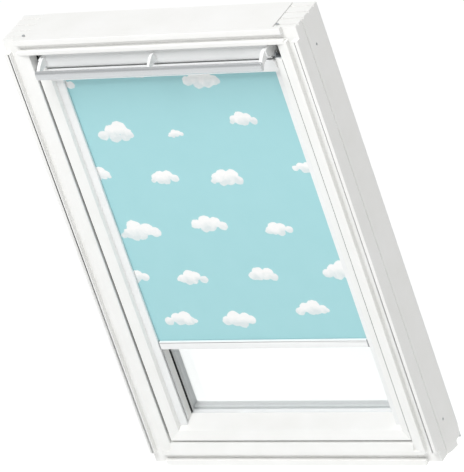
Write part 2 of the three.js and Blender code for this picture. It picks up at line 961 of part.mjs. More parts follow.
// The end brackets run on into cheeks that close the flap's ends
function endBracket(side) {
  const near = flapReach + seatGap - endBracketWidth;
  const far = flapReach + seatGap;
  const arm = bracketArm(Math.min(side * near, side * far), Math.max(side * near, side * far));
  const cheekOutline = [
    bracketShoulder,
    [flapFootDepth, flapTop - flapHeadGap],
    [cheekDepth, flapTop - cheekTopFall],
    [cheekDepth, sashTop + cheekFootHeight],
    ...arc(flapAxis, cheekHeelRadius, 0, -Math.PI),
    [flapTopDepth, sashTop + cheekFootHeight],
    [bracketShoulder[0], sashTop + bracketArchHeight],
  ];
  const cheek = sideways(side, cheekOutline, far, far + cheekThickness);
  const bore = rod(flapPinRadius + seatGap, -halfWidth, halfWidth, ...flapAxis);
  const bracket = cut(join(arm, cheek), bore);
  return onFlap(`${sideName(side)}_bracket`, bracket, whiteAluminium);
}

// Hinge ears on the stiles, each with the pin that the flap turns on
const earThickness = 3;
const earRadius = 5;
const earBaseLength = 18;
const earBaseWidth = 18;
const earBaseThickness = 2;
const earPinLength = 21;

function flapHinge(side) {
  const near = sashInner + seatGap;
  const depths = [flapHingeDepth - earBaseLength / 2, flapHingeDepth + earBaseLength / 2];
  const base = block(
    [side * near, side * (near + earBaseWidth)],
    depths,
    [sashTop, sashTop + earBaseThickness],
  );
  const earOutline = [
    ...arc(flapAxis, earRadius, 0, Math.PI),
    [depths[0], sashTop],
    [depths[1], sashTop],
  ];
  const ear = sideways(side, earOutline, near, near + earThickness);
  const pin = rod(flapPinRadius, side * (near + earThickness), side * (near - earPinLength), ...flapAxis);
  return piece(`${sideName(side)}_flap_hinge`, join(base, ear, pin), zincSteel);
}

// Head cassette of the blind, between the stiles in front of the top rail
const cassetteHeight = 38.5;
const cassetteNoseHeight = 9;
const cassetteHemInset = 3;
const cassetteHemHeight = 1;
const cassetteHemReach = 11;
const cassetteTopDrop = 5.5;
const cassetteTopInset = 2.8;
const capThickness = 2.7;
const rollerDrop = 19.5;
const rollerPinRadius = 3;
const rollerPinLength = 13;
const tubeRadius = 9;
const woundThickness = 1.5;
const clothThickness = 0.8;
const slotWidth = 3;
const slotInset = 6;

const woundRadius = tubeRadius + seatGap + woundThickness;
const slotFront = channelFront + slotInset;
const clothPlane = slotFront + slotWidth / 2;
const rollerDepth = clothPlane - clothThickness / 2 - seatGap - woundRadius;
const cassetteTopStart = sashFront + cassetteTopInset;
const cassetteFoot = sashTop - cassetteHeight;
const cassetteBack = channelSeat - seatGap;
const cassetteReach = sashInner - seatGap - capThickness;
const rollerAxis = [rollerDepth, sashTop - rollerDrop];

function cassetteFront() {
  return [
    [splayEnd + cassetteHemReach, cassetteFoot],
    [splayEnd + cassetteHemInset, cassetteFoot + cassetteHemHeight],
    [splayEnd, cassetteFoot + cassetteNoseHeight],
    [sashFront, sashTop],
  ];
}

function cassette() {
  const topPath = [
    [cassetteTopStart, sashTop - cassetteTopDrop],
    [cassetteBack, sashTop - cassetteTopDrop],
    [cassetteBack, cassetteFoot + cassetteHemHeight],
  ];
  const front = alongX(sheet(cassetteFront(), -sheetThickness), -cassetteReach, cassetteReach);
  const top = alongX(sheet(topPath, -sheetThickness), -cassetteReach, cassetteReach);
  return piece('blind_cassette', join(front, top), whiteAluminium);
}

function cassetteCap(side) {
  const outline = [
    ...cassetteFront(),
    [cassetteTopStart, sashTop],
    [cassetteTopStart, sashTop - cassetteTopDrop],
    [cassetteBack, sashTop - cassetteTopDrop],
    [cassetteBack, cassetteFoot + seatGap],
  ];
  const plate = sideways(side, outline, cassetteReach, cassetteReach + capThickness);
  const pin = rod(
    rollerPinRadius,
    side * (cassetteReach + capThickness),
    side * (cassetteReach - rollerPinLength),
    ...rollerAxis,
  );
  return piece(`${sideName(side)}_cassette_cap`, join(plate, pin), whitePlastic);
}

// Roller: tube, end plugs and the wound cloth, drawn about the roller's axis
const tubeWall = 1.2;
const tubeEndGap = 6.5;
const plugFlange = 1.5;
const plugLength = 12;
const clothEdgeInset = 10;
const tubeReach = cassetteReach - tubeEndGap;
const clothReach = sashInner - clothEdgeInset;

function circle(radius) {
  return Array.from({ length: roundSegments }, (_, step) => {
    const angle = 2 * Math.PI * step / roundSegments;
    return [radius * Math.cos(angle), radius * Math.sin(angle)];
  });
}

function hollowRoll(name, outer, inner, reach, material) {
  return piece(name, alongX(circle(outer), -reach, reach, [circle(inner)]), material);
}

function rollerTube() {
  return hollowRoll('roller_tube', tubeRadius, tubeRadius - tubeWall, tubeReach, satinAluminium);
}

function woundCloth() {
  return hollowRoll('wound_cloth', woundRadius, tubeRadius + seatGap, clothReach, blueCloth);
}

function rollerPlug(side) {
  const bore = rollerPinRadius + seatGap;
  const body = tubeRadius - tubeWall - seatGap;
  const profile = [
    [bore, 0],
    [body, 0],
    [body, plugLength],
    [tubeRadius, plugLength],
    [tubeRadius, plugLength + plugFlange],
    [bore, plugLength + plugFlange],
    [bore, 0],
  ];
  const turned = new THREE.LatheGeometry(
    profile.map(([radius, along]) => new THREE.Vector2(radius, along)),
    roundSegments,
  );
  const plug = piece(`${sideName(side)}_roller_plug`, turned, whitePlastic);
  plug.rotation.z = -side * Math.PI / 2;
  plug.position.x = side * (tubeReach + seatGap - plugLength);
  return plug;
}

// Side channels of the blind: open boxes with a slot for cloth and guides
const channelWall = 1.4;

function channel(side) {
  const outerFace = sashInner;
  const innerFace = daylight;
  const profile = [
    [outerFace, channelFront],
    [innerFace, channelFront],
    [innerFace, slotFront],
    [innerFace + channelWall, slotFront],
    [innerFace + channelWall, channelFront + channelWall],
    [outerFace - channelWall, channelFront + channelWall],
    [outerFace - channelWall, channelSeat - channelWall],
    [innerFace + channelWall, channelSeat - channelWall],
    [innerFace + channelWall, slotFront + slotWidth],
    [innerFace, slotFront + slotWidth],
    [innerFace, channelSeat],
    [outerFace, channelSeat],
  ];
  const section = profile.map(([across, depth]) => [side * across, depth]);
  const bar = alongZ(section, sashBottom, cassetteFoot);
  const ledgeLine = [
    [channelFront - overrun, ledgeHeight(channelFront - overrun) + seatGap],
    [channelSeat + overrun, ledgeHeight(channelSeat + overrun) + seatGap],
    [channelSeat + overrun, sashTop],
    [channelFront - overrun, sashTop],
  ];
  const kept = common(bar, alongX(ledgeLine, -halfWidth, halfWidth));
  return piece(`${sideName(side)}_channel`, kept, whiteAluminium);
}

// Hanging cloth, its bottom bar and the two guides, drawn from the bar's top
const barProfileHeight = 21;
const barProfileDepth = 14;
const barProfileRadius = 2;
const bottomBarDrop = 262;
const hemDepth = 4;
const hemSlotWidth = 1.4;
const hemSlotDepth = 5;
const barBoreHeight = 8;
const barBoreDepth = 8;
const barBoreDrop = 13;
const barBoreRadius = 1;
const guideCap = 3;
const guidePlugLength = 12;
const tongueWidth = 2.4;
const tongueLength = 6;
const shoeLength = 13.5;
const shoeDepth = 10.4;
const shoeHeight = 16;
const shoeRadius = 2;

const bottomBarReach = daylight - runningGap - guideCap;
const barMiddle = [0, -barProfileHeight / 2];

function barBore(margin) {
  return roundedRectangle(
    [0, -barBoreDrop],
    barBoreDepth / 2 - margin,
    barBoreHeight / 2 - margin,
    barBoreRadius,
  );
}

function barSection() {
  return roundedRectangle(barMiddle, barProfileDepth / 2, barProfileHeight / 2, barProfileRadius);
}

function bottomBar() {
  const body = alongX(barSection(), -bottomBarReach, bottomBarReach, [barBore(0)]);
  const slot = block(
    [-halfWidth, halfWidth],
    [-hemSlotWidth / 2, hemSlotWidth / 2],
    [-hemSlotDepth, overrun],
  );
  return piece('bottom_bar', cut(body, slot), whiteAluminium);
}

function barGuide(side) {
  const capEnd = bottomBarReach + guideCap;
  const shoeStart = capEnd + tongueLength - tongueWidth;
  const plug = sideways(
    side,
    barBore(seatGap),
    bottomBarReach - guidePlugLength,
    bottomBarReach + guideCap / 2,
  );
  const cap = sideways(side, barSection(), bottomBarReach + seatGap, capEnd);
  const tongueOutline = roundedRectangle(barMiddle, tongueWidth / 2, shoeHeight / 2, tongueWidth / 4);
  const tongue = sideways(side, tongueOutline, capEnd - guideCap / 2, capEnd + tongueLength);
  const shoeOutline = roundedRectangle(barMiddle, shoeDepth / 2, shoeHeight / 2, shoeRadius);
  const shoe = sideways(side, shoeOutline, shoeStart, shoeStart + shoeLength);
  return piece(`${sideName(side)}_bar_guide`, join(plug, cap, tongue, shoe), whitePlastic);
}

function hangingCloth() {
  const top = rollerAxis[1] + bottomBarDrop;
  const narrow = bottomBarReach - runningGap;
  const outline = [
    [top, clothReach],
    [top, -clothReach],
    [runningGap, -clothReach],
    [runningGap, -narrow],
    [-hemDepth, -narrow],
    [-hemDepth, narrow],
    [runningGap, narrow],
    [runningGap, clothReach],
  ];
  const cloth = alongY(outline, -clothThickness / 2, clothThickness / 2);
  return piece('blind_cloth', cloth, blueCloth);
}

// Assembly: each moving group is placed at its own axis
function assemble(pieces, y = 0, z = 0) {
  const group = new THREE.Group();
  group.position.set(0, y, z);
  group.add(...pieces);
  return group;
}

const frame = assemble([
  ...sides.map(jamb),
  head(),
  sill(),
  frameGasket(),
  strikePlate(),
  ...sides.map(pivotHousing),
  ...sides.map(sideCladding),
  sillCladding(),
  ...sides.map(upperCover),
  hood(),
]);

const flapAssembly = assemble([
  flap(),
  ...sides.map(endBracket),
  middleBracket(),
  controlBar(),
], ...flapAxis);

const roller = assemble([
  rollerTube(),
  woundCloth(),
  ...sides.map(rollerPlug),
], ...rollerAxis);

const blindBar = assemble([
  hangingCloth(),
  bottomBar(),
  ...sides.map(barGuide),
], clothPlane, -bottomBarDrop);

const sash = assemble([
  ...sides.map(stile),
  topRail(),
  bottomRail(),
  ...sides.map(pivotArm),
  glazingGasket(),
  pane('inner_pane', glassFront),
  spacerBar(),
  pane('outer_pane', outerPaneFront),
  ...sides.map(sideBead),
  crossBead('top_glazing_bead', railSlotTop, sashTop - coverFootInset),
  crossBead('bottom_glazing_bead', railSlotBottom, sashBottom + coverFootInset),
  ...sides.map(lowerCover),
  bottomCover(),
  airFilter(),
  latchCase(),
  assemble([latchLever()], ...latchAxis),
  ...sides.map(flapHinge),
  flapAssembly,
  cassette(),
  ...sides.map(cassetteCap),
  roller,
  ...sides.map(channel),
  blindBar,
]);

const roofWindow = new THREE.Group();
roofWindow.add(frame, sash);

export default roofWindow;
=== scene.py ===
import json
from math import cos, pi, radians, sin

import bmesh
import bpy
from mathutils import Matrix, Vector

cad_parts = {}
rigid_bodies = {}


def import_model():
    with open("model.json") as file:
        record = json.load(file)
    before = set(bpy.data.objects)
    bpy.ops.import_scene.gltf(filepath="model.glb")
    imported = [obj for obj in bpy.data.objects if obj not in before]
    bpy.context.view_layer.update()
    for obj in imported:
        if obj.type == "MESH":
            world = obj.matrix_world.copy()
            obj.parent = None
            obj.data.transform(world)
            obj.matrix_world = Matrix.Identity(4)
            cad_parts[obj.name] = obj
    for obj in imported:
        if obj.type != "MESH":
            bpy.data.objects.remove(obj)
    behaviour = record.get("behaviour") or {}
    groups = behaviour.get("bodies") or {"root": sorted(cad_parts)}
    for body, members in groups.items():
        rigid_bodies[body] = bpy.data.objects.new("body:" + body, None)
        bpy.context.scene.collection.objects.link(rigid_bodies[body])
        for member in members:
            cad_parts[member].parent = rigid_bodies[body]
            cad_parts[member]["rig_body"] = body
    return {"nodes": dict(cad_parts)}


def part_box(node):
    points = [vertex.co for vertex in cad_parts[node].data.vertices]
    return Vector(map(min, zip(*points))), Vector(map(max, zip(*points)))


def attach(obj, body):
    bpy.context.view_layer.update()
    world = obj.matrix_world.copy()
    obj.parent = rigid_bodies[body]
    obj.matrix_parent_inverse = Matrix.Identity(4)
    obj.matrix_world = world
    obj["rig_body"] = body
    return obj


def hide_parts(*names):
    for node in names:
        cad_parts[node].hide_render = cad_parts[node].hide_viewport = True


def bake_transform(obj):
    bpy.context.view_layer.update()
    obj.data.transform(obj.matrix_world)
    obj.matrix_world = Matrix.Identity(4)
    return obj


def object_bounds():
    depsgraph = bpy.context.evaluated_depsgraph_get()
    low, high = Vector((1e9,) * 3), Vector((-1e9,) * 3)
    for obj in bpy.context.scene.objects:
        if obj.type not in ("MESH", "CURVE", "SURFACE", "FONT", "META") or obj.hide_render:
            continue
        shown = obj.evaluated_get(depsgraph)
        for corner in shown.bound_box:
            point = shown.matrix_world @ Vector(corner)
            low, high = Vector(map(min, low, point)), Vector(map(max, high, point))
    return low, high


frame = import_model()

MM = 0.001
cad_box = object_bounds()
SIDES = (("left", -1), ("right", 1))


# Where the window's parts stand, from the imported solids.
def low(node):
    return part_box(node)[0]


def high(node):
    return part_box(node)[1]


# Camera: a long lens to the right of the window and above it, rolled as the photograph is.
CAMERA_TURN = -0.62149
CAMERA_DROP = 0.47046
CAMERA_ROLL = -0.33745
CAMERA_AWAY = 12.98989
CAMERA_ASIDE = (0.024822, 0.043339)
FOCAL_PIXELS = 5651.986
PHOTO_WIDTH, PHOTO_HEIGHT = 464, 472
SENSOR = 36


def make_camera():
    data = bpy.data.cameras.new("camera")
    camera = bpy.data.objects.new("camera", data)
    bpy.context.scene.collection.objects.link(camera)
    ahead = Vector((sin(CAMERA_TURN) * cos(CAMERA_DROP), cos(CAMERA_TURN) * cos(CAMERA_DROP),
                    -sin(CAMERA_DROP)))
    level = Vector((cos(CAMERA_TURN), -sin(CAMERA_TURN), 0))
    upright = level.cross(ahead)
    right = cos(CAMERA_ROLL) * level + sin(CAMERA_ROLL) * upright
    up = -sin(CAMERA_ROLL) * level + cos(CAMERA_ROLL) * upright
    place = CAMERA_ASIDE[0] * right + CAMERA_ASIDE[1] * up - CAMERA_AWAY * ahead
    turned = Matrix((right, up, -ahead)).transposed().to_4x4()
    camera.matrix_world = Matrix.Translation(place) @ turned
    data.sensor_width = SENSOR
    data.lens = FOCAL_PIXELS / max(PHOTO_WIDTH, PHOTO_HEIGHT) * SENSOR
    data.clip_start, data.clip_end = 0.1, 100
    bpy.context.scene.camera = camera


make_camera()


# Finishes
def colour(code):
    """An sRGB hex code as linear red, green and blue."""
    parts = [int(code[i:i + 2], 16) / 255 for i in (1, 3, 5)]
    return (*(c / 12.92 if c <= 0.04045 else ((c + 0.055) / 1.055) ** 2.4 for c in parts), 1)


def add(tree, kind, inputs=(), **settings):
    """Adds a node. inputs gives a value or a socket for an input's name or number."""
    node = tree.nodes.new(kind)
    for name, value in settings.items():
        setattr(node, name, value)
    for key, value in dict(inputs).items():
        if isinstance(value, bpy.types.NodeSocket):
            tree.links.new(value, node.inputs[key])
        else:
            node.inputs[key].default_value = value
    return node


def start(name):
    """A new material's node tree, its shader and the Object coordinates."""
    material = bpy.data.materials.new(name)
    material.use_nodes = True
    tree = material.node_tree
    return material, tree, tree.nodes["Principled BSDF"], add(tree, "ShaderNodeTexCoord").outputs["Object"]


def relief(tree, shader, height, depth, strength=1.0):
    """Gives the shader a bump of that depth in millimetres."""
    bump = add(tree, "ShaderNodeBump", {"Strength": strength, "Distance": depth * MM, "Height": height})
    tree.links.new(bump.outputs["Normal"], shader.inputs["Normal"])


def vary(tree, factor, dark, light, shader, socket="Base Color"):
    """Runs a shader's colour between two colours as factor goes from 0 to 1."""
    mix = add(tree, "ShaderNodeMix", {0: factor, 6: colour(dark), 7: colour(light)}, data_type="RGBA")
    tree.links.new(mix.outputs[2], shader.inputs[socket])


def span(tree, factor, start, end, shader, socket="Roughness"):
    """Runs a shader's number from start to end as factor goes from 0 to 1."""
    reach = add(tree, "ShaderNodeMapRange", {"Value": factor, "To Min": start, "To Max": end})
    tree.links.new(reach.outputs[0], shader.inputs[socket])


def streaks(tree, place, along, fine, length, **inputs):
    """Noise drawn out along one axis: fine across it and long along it, in millimetres."""
    scale = [1 / (fine * MM)] * 3
    scale[along] = 1 / (length * MM)
    stretched = add(tree, "ShaderNodeMapping", {"Vector": place, "Scale": scale})
    return add(tree, "ShaderNodeTexNoise", {"Vector": stretched.outputs[0], "Scale": 1, **inputs})


def specks(tree, place, size, **inputs):
    """Noise of one size in millimetres, the same in every direction."""
    return add(tree, "ShaderNodeTexNoise", {"Vector": place, "Scale": 1 / (size * MM), **inputs})


def lacquered_pine(name, along):
    """Pine under sprayed white lacquer: a smooth satin white whose wood grain only just shows
    as long low ridges, with a slightly warmer cloudiness where the coat is thinner."""
    material, tree, shader, place = start(name)
    grain = streaks(tree, place, along, 1.6, 90, Detail=3, Distortion=0.4)
    cloud = specks(tree, place, 70, Detail=2)
    vary(tree, cloud.outputs[0], "#F3F3F0", "#FBFBFA", shader)
    span(tree, grain.outputs[0], 0.30, 0.42, shader)
    relief(tree, shader, grain.outputs[0], 0.05, 0.5)
    shader.inputs["IOR"].default_value = 1.5
    shader.inputs["Coat Weight"].default_value = 0.25
    shader.inputs["Coat Roughness"].default_value = 0.2
    return material


def powder_coat(name, dark, light, rough):
    """Powder-coated aluminium: an even coat with a very fine orange peel."""
    material, tree, shader, place = start(name)
    peel = specks(tree, place, 0.9, Detail=2)
    cloud = specks(tree, place, 45, Detail=3)
    vary(tree, cloud.outputs[0], dark, light, shader)
    span(tree, peel.outputs[0], rough - 0.05, rough + 0.06, shader)
    relief(tree, shader, peel.outputs[0], 0.03, 0.5)
    shader.inputs["IOR"].default_value = 1.5
    return material


def weathered_sheet():
    """Coil-coated aluminium sheet outside: matte pale grey paint, rolled flat, with faint runs
    down the slope where rain has dried."""
    material, tree, shader, place = start("coil_coated_aluminium_sheet")
    runs = streaks(tree, place, 2, 9, 220, Detail=4)
    peel = specks(tree, place, 1.4, Detail=2)
    vary(tree, runs.outputs[0], "#DEE1E2", "#ECEEEE", shader)
    span(tree, peel.outputs[0], 0.42, 0.56, shader)
    relief(tree, shader, peel.outputs[0], 0.04, 0.5)
    shader.inputs["IOR"].default_value = 1.5
    return material


def anodised(name, along, dark, light, metal, rough):
    """Satin anodised aluminium, brushed lengthwise before it was anodised: fine bright and
    dull lines run with the extrusion."""
    material, tree, shader, place = start(name)
    brushed = streaks(tree, place, along, 0.5, 120, Detail=4)
    vary(tree, brushed.outputs[0], dark, light, shader)
    span(tree, brushed.outputs[0], rough, rough + 0.12, shader)
    relief(tree, shader, brushed.outputs[0], 0.012, 0.6)
    shader.inputs["Metallic"].default_value = metal
    return material


def zinc_steel():
    """Zinc-plated pressed steel: bluish grey, dull spots among brighter ones."""
    material, tree, shader, place = start("zinc_plated_steel")
    spots = add(tree, "ShaderNodeTexVoronoi", {"Vector": place, "Scale": 1 / (3.5 * MM)})
    haze = specks(tree, place, 12, Detail=4)
    vary(tree, spots.outputs["Distance"], "#A9AFB3", "#C6CACD", shader)
    span(tree, haze.outputs[0], 0.26, 0.5, shader)
    relief(tree, shader, haze.outputs[0], 0.02, 0.4)
    shader.inputs["Metallic"].default_value = 1
    return material


def moulded_plastic(name, dark, light):
    """Moulded ABS from a spark-eroded tool: a matte, faintly grained skin."""
    material, tree, shader, place = start(name)
    grained = specks(tree, place, 0.5, Detail=2)
    cloud = specks(tree, place, 25, Detail=2)
    vary(tree, cloud.outputs[0], dark, light, shader)
    span(tree, grained.outputs[0], 0.40, 0.52, shader)
    relief(tree, shader, grained.outputs[0], 0.025, 0.6)
    shader.inputs["IOR"].default_value = 1.53
    return material


def black_rubber():
    """Extruded EPDM rubber: near black and dull, with fine lines from the die and a little
    pale bloom."""
    material, tree, shader, place = start("epdm_rubber")
    die = streaks(tree, place, 2, 0.7, 60, Detail=2)
    bloom = specks(tree, place, 18, Detail=4)
    vary(tree, bloom.outputs[0], "#141516", "#2B2C2D", shader)
    span(tree, bloom.outputs[0], 0.55, 0.75, shader)
    relief(tree, shader, die.outputs[0], 0.03, 0.5)
    shader.inputs["IOR"].default_value = 1.52
    return material


def float_glass():
    """Clear float glass: seen through, with a faint green-blue cast and a film of dust that
    dulls it here and there."""
    material, tree, shader, place = start("clear_float_glass")
    film = specks(tree, place, 140, Detail=4)
    vary(tree, film.outputs[0], "#FBFEFE", "#FFFFFF", shader)
    span(tree, film.outputs[0], 0.0, 0.02, shader)
    shader.inputs["IOR"].default_value = 1.52
    shader.inputs["Transmission Weight"].default_value = 1
    return material


def filter_foam():
    """Open-cell filter foam: grey, dull, with pits a millimetre or two across, each pit painted darker towards
    its middle as painted shade in it.
    """
    material, tree, shader, place = start("open_cell_foam")
    cells = add(tree, "ShaderNodeTexVoronoi", {"Vector": place, "Scale": 1 / (1.8 * MM)})
    pit_depth_and_shade = add(tree, "ShaderNodeMapRange", {"Value": cells.outputs["Distance"], "From Max": 0.6})
    # Painted shade: the colour darkens where the relief sinks deepest, in the middle of each pit.
    vary(tree, pit_depth_and_shade.outputs[0], "#4F5356", "#8E9295", shader)
    relief(tree, shader, pit_depth_and_shade.outputs[0], 0.8, 0.9)
    shader.inputs["Roughness"].default_value = 0.95
    shader.inputs["IOR"].default_value = 1.4
    return material


WAVE_PERIOD = pi / 10
CLOTH_BLUE, CLOTH_BLUE_DEEP = "#ADDEE3", "#A8DBE0"
PRINT_WHITE, PRINT_SHADE = "#FFFFFE", "#E3EBEC"
CELL_WIDTH, CELL_HEIGHT = 0.180, 0.130
CLOUD_SMALLEST, CLOUD_LARGEST = 0.024, 0.062
THREAD_SPACING = 0.0012
# Each cloud is a soft union of discs: across, up and radius, in halves of the cloud's width.
CLOUD_DISCS = ((-0.62, -0.10, 0.25), (-0.26, 0.10, 0.31), (0.18, 0.16, 0.35), (0.56, -0.02, 0.27),
               (-0.06, -0.14, 0.28), (0.30, -0.17, 0.22), (0.74, -0.12, 0.14))


def number(tree, operation, *values, **settings):
    """One step of arithmetic."""
    return add(tree, "ShaderNodeMath", enumerate(values), operation=operation, **settings).outputs[0]


def vector(tree, operation, *values, output=0):
    """One step of arithmetic on points."""
    return add(tree, "ShaderNodeVectorMath", enumerate(values), operation=operation).outputs[output]


def cloud_print(tree, surface):
    """How far a point of the cloth is inside a printed cloud, and how deep its grey wash is.
    surface is the place on the cloth in metres. Clouds of many sizes stand in staggered rows."""
    at = add(tree, "ShaderNodeSeparateXYZ", {0: surface})
    row = number(tree, "FLOOR", number(tree, "DIVIDE", at.outputs[1], CELL_HEIGHT))
    shift = number(tree, "MULTIPLY", number(tree, "PINGPONG", row, 1.0), CELL_WIDTH * 0.47)
    across = number(tree, "ADD", at.outputs[0], shift)
    column = number(tree, "FLOOR", number(tree, "DIVIDE", across, CELL_WIDTH))
    cell = add(tree, "ShaderNodeCombineXYZ", {0: column, 1: row, 2: 3.0}).outputs[0]
    luck = add(tree, "ShaderNodeTexWhiteNoise", {"Vector": cell}, noise_dimensions="3D").outputs["Color"]
    chance = add(tree, "ShaderNodeSeparateXYZ", {0: luck})
    half = number(tree, "MULTIPLY_ADD", number(tree, "POWER", chance.outputs[2], 0.6),
                  CLOUD_LARGEST - CLOUD_SMALLEST, CLOUD_SMALLEST)
    middle = vector(tree, "MULTIPLY_ADD", luck, (CELL_WIDTH * 0.30, CELL_HEIGHT * 0.34, 0),
                    (CELL_WIDTH * 0.35, CELL_HEIGHT * 0.33, 0))
    corner = vector(tree, "MULTIPLY", cell, (CELL_WIDTH, CELL_HEIGHT, 0))
    flat = add(tree, "ShaderNodeCombineXYZ", {0: across, 1: at.outputs[1]}).outputs[0]
    local = vector(tree, "SUBTRACT", vector(tree, "SUBTRACT", flat, corner), middle)
    scaled = add(tree, "ShaderNodeVectorMath", {0: local, 3: number(tree, "DIVIDE", 1.0, half)},
                 operation="SCALE").outputs[0]
    turn = number(tree, "SIGN", number(tree, "SUBTRACT", chance.outputs[0], 0.5))
    mirrored = vector(tree, "MULTIPLY", scaled,
                      add(tree, "ShaderNodeCombineXYZ", {0: turn, 1: 1.0, 2: 1.0}).outputs[0])
    ragged = specks(tree, surface, 9, Detail=2).outputs["Color"]
    torn = vector(tree, "MULTIPLY_ADD", ragged, (0.11, 0.11, 0), (-0.055, -0.055, 0))
    point = vector(tree, "ADD", mirrored, torn)
    edge = None
    for index, (right, up, radius) in enumerate(CLOUD_DISCS):
        own = vector(tree, "ADD", cell, (0, 0, index + 1))
        nudge = add(tree, "ShaderNodeTexWhiteNoise", {"Vector": own}, noise_dimensions="3D").outputs["Color"]
        place = vector(tree, "MULTIPLY_ADD", nudge, (0.16, 0.14, 0), (right - 0.08, up - 0.07, 0))
        away = vector(tree, "MULTIPLY", vector(tree, "SUBTRACT", point, place), (1.0, 1.12, 0))
        disc = number(tree, "SUBTRACT", vector(tree, "LENGTH", away, output=1), radius)
        edge = disc if edge is None else number(tree, "SMOOTH_MIN", edge, disc, 0.08)
    inside = add(tree, "ShaderNodeMapRange", {"Value": edge, "From Min": 0.02, "From Max": -0.03},
                 interpolation_type="SMOOTHSTEP").outputs[0]
    washes = specks(tree, surface, 26, Detail=3, Distortion=0.6).outputs[0]
    underside = add(tree, "ShaderNodeMapRange",
                    {"Value": add(tree, "ShaderNodeSeparateXYZ", {0: point}).outputs[1],
                     "From Min": 0.30, "From Max": -0.30}).outputs[0]
    wash = add(tree, "ShaderNodeMapRange", {"Value": number(tree, "MULTIPLY", washes, underside),
                                            "From Min": 0.14, "From Max": 0.46}).outputs[0]
    return inside, wash


def weave(tree, surface):
    """The height of a plain weave. Real threads are about 0.4 mm apart; they are drawn three
    times as coarse, so that the cloth still reads as woven."""
    threads = [add(tree, "ShaderNodeTexWave", {"Vector": surface, "Scale": WAVE_PERIOD / THREAD_SPACING},
                   bands_direction=axis).outputs[1] for axis in "XY"]
    return number(tree, "MULTIPLY", *threads)


def printed_cloth():
    """Woven polyester blind cloth, stiffened and printed: matte pale aqua with white clouds that have soft grey
    washes, and a fine even weave whose hollows darken the colour a little, as painted shade between the
    threads."""
    material, tree, shader, _ = start("printed_polyester_cloth")
    surface = add(tree, "ShaderNodeTexCoord").outputs["UV"]
    inside, wash = cloud_print(tree, surface)
    height = weave(tree, surface)
    ground = add(tree, "ShaderNodeMix", {0: specks(tree, surface, 60, Detail=3).outputs[0],
                                         6: colour(CLOTH_BLUE_DEEP), 7: colour(CLOTH_BLUE)},
                 data_type="RGBA").outputs[2]
    cloud = add(tree, "ShaderNodeMix", {0: wash, 6: colour(PRINT_WHITE), 7: colour(PRINT_SHADE)},
                data_type="RGBA").outputs[2]
    ink = add(tree, "ShaderNodeMix", {0: inside, 6: ground, 7: cloud}, data_type="RGBA").outputs[2]
    # Painted shade: the colour is darkened where the weave dips between the threads.
    weave_shade = add(tree, "ShaderNodeMapRange", {"Value": height, "To Min": 0.965, "To Max": 1.0}).outputs[0]
    shaded = add(tree, "ShaderNodeMix", {0: 1.0, 6: ink, 7: weave_shade}, data_type="RGBA",
                 blend_type="MULTIPLY").outputs[2]
    tree.links.new(shaded, shader.inputs["Base Color"])
    relief(tree, shader, height, 0.08, 0.4)
    shader.inputs["Roughness"].default_value = 0.85
    shader.inputs["IOR"].default_value = 1.45
    shader.inputs["Sheen Weight"].default_value = 0.08
    return material


def coated_back():
    """The blind's outer side: the same cloth under a pale dim-out coating, chalky and plain."""
    material, tree, shader, _ = start("acrylic_coated_cloth")
    surface = add(tree, "ShaderNodeTexCoord").outputs["UV"]
    vary(tree, specks(tree, surface, 35, Detail=4).outputs[0], "#DFE3E4", "#EEF0F0", shader)
    relief(tree, shader, weave(tree, surface), 0.05, 0.3)
    shader.inputs["Roughness"].default_value = 0.75
    shader.inputs["IOR"].default_value = 1.48
    return material


PINE_UPRIGHT = lacquered_pine("lacquered_pine_upright", 2)
PINE_ACROSS = lacquered_pine("lacquered_pine_across", 0)
WHITE_COAT = powder_coat("white_powder_coated_aluminium", "#EFF0F0", "#F8F9F9", 0.36)
PALE_SHEET = weathered_sheet()
BRUSHED_BAR = anodised("satin_anodised_aluminium", 0, "#C4C7CA", "#E2E4E5", 1, 0.2)
BRUSHED_SPACER = anodised("anodised_spacer_aluminium", 2, "#ECEDEE", "#F6F7F7", 0.1, 0.4)
ZINC = zinc_steel()
WHITE_PLASTIC = moulded_plastic("white_abs", "#F0F1F0", "#F8F8F7")
GREY_PLASTIC = moulded_plastic("grey_abs", "#8C8F91", "#A2A5A7")
RUBBER = black_rubber()
GLASS = float_glass()
FOAM = filter_foam()
PRINTED = printed_cloth()
BACKING = coated_back()


# New pieces
def piece(mesh, name, materials, body, instead_of=()):
    """Turns a bmesh into a finished piece that rides on a body."""
    data = bpy.data.meshes.new(name)
    mesh.to_mesh(data)
    mesh.free()
    for material in materials:
        data.materials.append(material)
    made = bpy.data.objects.new(name, data)
    bpy.context.scene.collection.objects.link(made)
    if body:
        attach(made, body)
    if instead_of:
        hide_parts(*instead_of)
    return made


def smooth_shading(made):
    """Shades the piece smooth, with flat faces kept flat between their rounded edges."""
    for polygon in made.data.polygons:
        polygon.use_smooth = True
    made.modifiers.new("even_normals", "WEIGHTED_NORMAL").keep_sharp = True
    return made


def box_mesh(mesh, lowest, highest):
    """Adds a block between two corners and returns its vertices."""
    middle = (Vector(lowest) + Vector(highest)) / 2
    size = Vector(highest) - Vector(lowest)
    return bmesh.ops.create_cube(mesh, size=1,
                                 matrix=Matrix.Translation(middle) @ Matrix.Diagonal((*size, 1)))["verts"]


def soften(mesh, edges, width, segments=2):
    bmesh.ops.bevel(mesh, geom=edges, offset=width, offset_type="OFFSET", segments=segments,
                    profile=0.5, affect="EDGES", material=-1, clamp_overlap=True)


def sharp_edges(mesh, angle=28):
    return [e for e in mesh.edges if e.is_manifold and e.calc_face_angle(0) > radians(angle)]


def recess(mesh, faces, planes, chosen, move):
    """Divides flat faces along the planes and sinks those whose middle is chosen."""
    region = list({g for face in faces for g in (face, *face.edges, *face.verts)})
    for point, normal in planes:
        region = bmesh.ops.bisect_plane(mesh, geom=region, dist=MM / 1000, plane_co=point,
                                        plane_no=normal)["geom"]
    sunk = [g for g in region if isinstance(g, bmesh.types.BMFace) and chosen(g.calc_center_median())]
    grown = bmesh.ops.extrude_face_region(mesh, geom=sunk)["geom"]
    bmesh.ops.translate(mesh, vec=move, verts=[g for g in grown if isinstance(g, bmesh.types.BMVert)])


